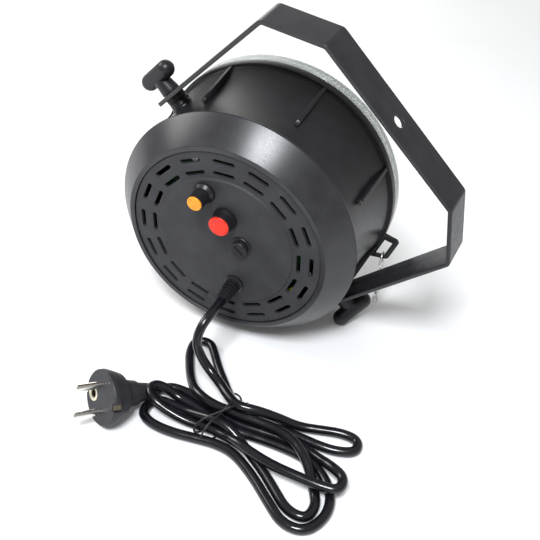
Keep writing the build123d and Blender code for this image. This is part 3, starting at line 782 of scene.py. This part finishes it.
# barrel: waisted shell, rim, fins, pivot bosses and safety eye
barrelSizes = {
    "wall": ((87.3, 19.0), (86.4, 34.0), (86.6, 52.0), (88.4, 68.0), (91.4, 83.4)),
    "wallIn": ((88.0, 77.0), (85.0, 66.0), (84.0, 50.0), (84.2, 34.0), (84.9, 19.0)),
    "rim": (94.1, 94.5, 84.0, 90.0),
    "seat": (88.6, 82.0, 77.0, 80.0),  # radii and heights of the inner shelf
    "fins": {
        "count": 8,
        "foot": 86.0,
        "out": (89.9, 93.4),
        "start": 39.0,
        "end": 84.2,
        "thick": 3.0,
        "angle": 22.5,
    },
    "boss": (7.4, 5.7, 84.0, 92.4),
    "eye": {
        "angle": -23.6,
        "low": 84.3,
        "thick": 3.6,
        "outline": (
            (90.8, -12.2),
            (103.6, -13.2),
            (105.6, -11.6),
            (105.7, 5.2),
            (104.0, 7.3),
            (92.6, 12.8),
            (90.8, 12.8),
        ),
        "window": ((95.5, -8.5), (101.8, -9.3), (101.8, 5.6), (95.5, 8.6)),
    },
}


def makeWall(sizes):
    low, high, start, end = sizes["rim"]
    mouth, shelf, under, top = sizes["seat"]
    outline = [
        *sizes["wall"],
        (low - 2.5, start, 0.5),
        (low, start, 0.7),
        (high, end, 0.9),
        (mouth, end),
        (mouth, top),
        (shelf, top),
        (shelf, under),
        *sizes["wallIn"],
    ]
    return autoSmooth(lathe("barrelWall", outline, lamp, shellBlack, 192), 28)


def makeFins(fins):
    low, high = fins["out"]
    outline = [
        (fins["foot"], fins["start"]),
        (low - 1.1, fins["start"]),
        (low, fins["start"] + 1.2),
        (high, fins["end"]),
        (high - 4, fins["end"]),
    ]
    upright = Matrix(((1, 0, 0, 0), (0, 0, -1, 0), (0, 1, 0, 0), (0, 0, 0, 1)))
    fin = plate("finBlank", outline, [], -fins["thick"] / 2, fins["thick"] / 2, upright, shellBlack, 0.5)
    values = {
        "Count": fins["count"],
        "Radius": 0.001,  # the blank already stands at its own radius
        "Start angle": radians(fins["angle"]),
        "Finish": shellBlack,
    }
    return autoSmooth(grow("barrelFins", fin, ringTree, values, lamp), 30)


def makeBosses(boss):
    radius, bore, start, end = boss
    pieces = []
    for side in (-1, 1):
        place = axes(pivotCentre, armWay, lampAcross * side)
        outline = [
            (bore, start),
            (radius + 3.5, start),
            (radius + 0.4, start + 4.5, 3),
            (radius, end, 0.6),
            (bore, end, 0.4),
        ]
        pieces.append(lathe("boss", outline, place, shellBlack, 64))
    return pieces


def makeEye(eye):
    place = lamp @ Matrix.Rotation(radians(eye["angle"]), 4, "Z")
    low, high = eye["low"], eye["low"] + eye["thick"]
    return plate("safetyEye", eye["outline"], [eye["window"]], low, high, place, shellBlack, 0.7)


def makeBarrel(sizes):
    pieces = [makeWall(sizes), makeFins(sizes["fins"]), *makeBosses(sizes["boss"])]
    pieces.append(autoSmooth(makeEye(sizes["eye"]), 30))
    barrel = joinMeshes("barrelShell", pieces)
    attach(barrel, "lamp")
    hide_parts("barrel")


makeBarrel(barrelSizes)
print("barrel made")


# clear front cover
coverSizes = {
    "skirt": (94.0, 90.0, 100.0),
    "spigot": (86.2, 88.4, 86.2),  # radii and start of the collar in the barrel's mouth
    "neck": (91.5, 100.6),
    "end": 83.0,
    "front": 176.0,
    "corner": 10.0,
    "wall": 2.0,
}


def makeCover(sizes):
    outer, start, stop = sizes["skirt"]
    neck, neckHeight = sizes["neck"]
    spigotIn, spigotOut, spigotStart = sizes["spigot"]
    end, front, corner, wall = sizes["end"], sizes["front"], sizes["corner"], sizes["wall"]
    skirt = [
        (spigotIn, spigotStart),
        (spigotOut, spigotStart),
        (spigotOut, start),
        (outer, start, 0.3),
        (outer, stop, 0.9),
        (neck, neckHeight, 0.5),
        (neck - wall, neckHeight),
        (spigotIn, stop - 3.0),
    ]
    centre = (end - corner, front - corner)
    edge = ringPoints(corner, 9, radians(-7), pi / 2, centre)
    inside = ringPoints(corner - wall, 9, pi / 2, radians(-7), centre)
    dome = [(neck, neckHeight), *edge, (0, front), (0, front - wall), *inside, (neck - wall, neckHeight)]
    for name, outline, finish in (("coverSkirt", skirt, skirtClear), ("coverDome", dome, coverClear)):
        piece = autoSmooth(lathe(name, outline, lamp, finish, 160), 30)
        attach(piece, "lamp")
        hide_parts("clear_cover")


makeCover(coverSizes)
print("clear cover made")


# yoke: one bent steel strip with a hole in its base
yokeSizes = {
    "arm": 97.5,
    "corner": 113.3,
    "base": (63.0, 140.5),
    "thick": 3.0,
    "wide": 25.0,
    "bend": 4.0,
    "hole": 4.25,
    "pivot hole": 4.3,
    "past": 9.0,
    "end round": 5.5,
}


# places along a bent strip's middle: distance, place and the way across its thickness
def bentPath(points, radius, step=0.4):
    samples = []
    gone = 0.0
    here = Vector(points[0])
    for i, corner in enumerate(points[1:], 1):
        corner = Vector(corner)
        way = (corner - Vector(points[i - 1])).normalized()
        across = Vector((way.y, -way.x))
        last = i == len(points) - 1
        turn = 0 if last else way.angle_signed(Vector(points[i + 1]) - corner)
        stop = corner if last else corner - way * radius * tan(abs(turn) / 2)
        samples.append((gone, here, across))
        gone += (stop - here).length
        samples.append((gone, stop, across))
        if last:
            break
        side = -1 if turn > 0 else 1
        centre = stop - across * radius * side
        count = max(4, int(abs(turn) * radius / step))
        for k in range(1, count + 1):
            spin = Matrix.Rotation(-turn * k / count, 2)
            reach = gone + abs(turn) * radius * k / count
            samples.append((reach, centre + spin @ (stop - centre), spin @ across))
        gone, here = samples[-1][0], samples[-1][1]
    return samples


# place and way across at a distance along that path
def alongPath(samples, distance):
    for (a, place, across), (b, placeNext, acrossNext) in zip(samples, samples[1:]):
        if distance <= b or b == samples[-1][0]:
            share = 0 if b - a < 1e-9 else (distance - a) / (b - a)
            return place.lerp(placeNext, share), across.lerp(acrossNext, share).normalized()
    return samples[-1][1], samples[-1][2]


def makeYoke(sizes):
    arm, corner, (baseHalf, baseHeight) = sizes["arm"], sizes["corner"], sizes["base"]
    half = [(arm, 0.0), (arm, corner), (baseHalf, baseHeight)]
    samples = bentPath(half + [(-x, y) for x, y in half[::-1]], sizes["bend"])
    length = samples[-1][0]
    r = sizes["wide"] / 2
    past, e = sizes["past"], sizes["end round"]
    ends = [(-past, -r, e), (length + past, -r, e), (length + past, r, e), (-past, r, e)]
    outline = [tuple(point) for point in roundCorners(ends, 8)]
    bores = ((sizes["pivot hole"], 0), (sizes["pivot hole"], length), (sizes["hole"], length / 2))
    holes = [ringPoints(bore, 32, 0, tau, (middle, 0)) for bore, middle in bores]
    t = sizes["thick"] / 2
    yoke = plate("yokeStrip", outline, holes, -t, t, Matrix.Identity(4), yokeFinish, 0.55)
    shape = bmesh.new()
    shape.from_mesh(yoke.data)
    for distance, _, _ in samples[1:-1]:
        parts = shape.verts[:] + shape.edges[:] + shape.faces[:]
        bmesh.ops.bisect_plane(shape, geom=parts, plane_co=(distance, 0, 0), plane_no=(1, 0, 0))
    for vertex in shape.verts:
        distance, wide, thick = vertex.co
        within = min(max(distance, 0), length)
        place, across = alongPath(samples, within)
        beyond = distance - within
        spot = place + across * thick + Vector((0, beyond if distance < 0 else -beyond))
        vertex.co = (spot.x, spot.y, wide)
    bmesh.ops.recalc_face_normals(shape, faces=shape.faces)
    shape.transform(yokeFrame)
    shape.to_mesh(yoke.data)
    shape.free()
    autoSmooth(yoke, 30)
    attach(yoke, "yoke")
    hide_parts("yoke")


makeYoke(yokeSizes)
print("yoke made")


# tilt knobs: a bar with round ends on a tapered stem
tiltKnobSizes = {
    "face": 99.1,
    "stem": (6.9, 5.3),
    "bar": 6.3,
    "half": 10.7,
    "reach": 14.4,
    "turns": {"left": 0, "right": -45},
    "voxel": 0.35,
    "soften": 12,
}


def makeTiltKnob(side, turn, sizes):
    outward = lampAcross * (1 if side == "right" else -1)
    face = axes(pivotCentre + outward * sizes["face"] * mm, armWay, outward)
    foot, top = sizes["stem"]
    outline = [(0, 0), (foot, 0), (foot, 1.6, 0.6), (top, sizes["reach"]), (0, sizes["reach"])]
    stem = lathe("stem", outline, Matrix.Identity(4), knobBlack, 48)
    r, half = sizes["bar"], sizes["half"]
    ends = ringPoints(r, 13, -pi / 2, 0, (0, -half))
    capsule = [(abs(x), y) for x, y in ends]
    capsule = [(0, -half - r), *capsule[1:], *[(x, -y) for x, y in capsule[1:][::-1]], (0, half + r)]
    lying = Matrix.Translation((0, 0, sizes["reach"])) @ Matrix.Rotation(radians(turn), 4, "Z")
    lying = lying @ Matrix.Rotation(pi / 2, 4, "Y")
    bar = lathe("bar", capsule, lying, knobBlack, 48, closed=False)
    knob = joinMeshes("tiltKnob" + side.capitalize(), [stem, bar])
    voxels = knob.modifiers.new("voxels", "REMESH")
    voxels.mode = "VOXEL"
    voxels.voxel_size = sizes["voxel"]
    soften = knob.modifiers.new("soften", "SMOOTH")
    soften.iterations = sizes["soften"]
    bpy.context.view_layer.update()
    mesh = bpy.data.meshes.new_from_object(knob.evaluated_get(bpy.context.evaluated_depsgraph_get()))
    knob.modifiers.clear()
    knob.data = mesh
    mesh.transform(face)
    for polygon in mesh.polygons:
        polygon.use_smooth = True
    mesh.materials.clear()
    mesh.materials.append(knobBlack)
    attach(knob, "tilt_knob_" + side)
    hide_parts("tilt_knob_" + side)


for side, turn in tiltKnobSizes["turns"].items():
    makeTiltKnob(side, turn, tiltKnobSizes)
print("tilt knobs made")


# finishes of the CAD pieces that keep their shape
kept = {
    "heat_spreader": sheetAluminium,
    "led_board": boardWhite,
    "led_chips": phosphor,
    "lens_plate": shellBlack,
    "led_lenses": lensClear,
    "driver_board": boardGreen,
    "board_pillars": brass,
    "pillar_screws": zinc,
    "transformer": ironCore,
    "capacitors": canSleeve,
    "earth_wire": earthSleeve,
    "earth_tag": zinc,
    "tilt_inserts": brass,
    "tilt_washers": washerBlack,
    "tilt_stud_left": zinc,
    "tilt_stud_right": zinc,
    "fin_screws": darkSteel,
    "speed_pot_body": zinc,
    "sound_pot_body": zinc,
    "speed_pot_nut": zinc,
    "sound_pot_nut": zinc,
    "speed_pot_shaft": zinc,
    "sound_pot_shaft": zinc,
    "speed_knob": knobBlack,
    "sound_knob": knobBlack,
    "speed_knob_cap": yellowCap,
    "sound_knob_cap": redCap,
    "fuse_holder": knobBlack,
    "fuse_cap": knobBlack,
    "fuse_link": lensClear,
    "gland_nut": knobBlack,
    "strain_relief": knobBlack,
    "safety_chain": zinc,
    "plug_body": plugGrey,
    "plug_boot": plugGrey,
    "plug_pins": nickel,
    "plug_earth_contacts": agedContact,
}
for node, finish in kept.items():
    mesh = frame["nodes"][node].data
    mesh.materials.clear()
    mesh.materials.append(finish)
print("kept pieces finished:", len(kept))


# floor and light
studio = {
    "floor": 40.0,
    "world": 0.42,
    "soft box": {"place": (0.12, -0.85, 1.3), "power": 25, "size": 0.42, "colour": (0.93, 0.96, 1.0)},
    "side": {"place": (-1.3, -0.1, 0.9), "power": 10, "size": 0.7, "colour": (1.0, 0.99, 0.96)},
    "back": {"place": (-0.7, 1.5, 0.5), "power": 7, "size": 1.0, "colour": (1.0, 1.0, 0.97)},
}


def paintFloor():
    finish = Finish("floor")
    finish.colour(finish.tint(finish.noise(300, 2), (0.86, 0.86, 0.86), (0.9, 0.9, 0.9)))
    finish.set(Roughness=0.6)
    return finish.material


def areaLight(name, settings):
    data = bpy.data.lights.new(name, "AREA")
    data.energy = settings["power"]
    data.size = settings["size"]
    data.color = settings["colour"]
    light = bpy.data.objects.new(name, data)
    light.location = settings["place"]
    aim = Vector((0, 0, 0.08)) - light.location
    light.rotation_euler = aim.to_track_quat("-Z", "Y").to_euler()
    bpy.context.scene.collection.objects.link(light)


def makeStudio(sizes):
    half = sizes["floor"] / 2
    mesh = bpy.data.meshes.new("floor")
    corners = [(-half, -half, 0), (half, -half, 0), (half, half, 0), (-half, half, 0)]
    mesh.from_pydata(corners, [], [(0, 1, 2, 3)])
    floor = newPiece("floor", mesh, paintFloor(), smooth=False)
    world = bpy.data.worlds.new("studio")
    world.use_nodes = True
    background = world.node_tree.nodes["Background"]
    background.inputs["Color"].default_value = (1, 1, 1, 1)
    background.inputs["Strength"].default_value = sizes["world"]
    bpy.context.scene.world = world
    for name in ("soft box", "side", "back"):
        areaLight(name, sizes[name])
    bpy.context.scene.view_settings.view_transform = "Standard"


makeStudio(studio)
print("studio set")
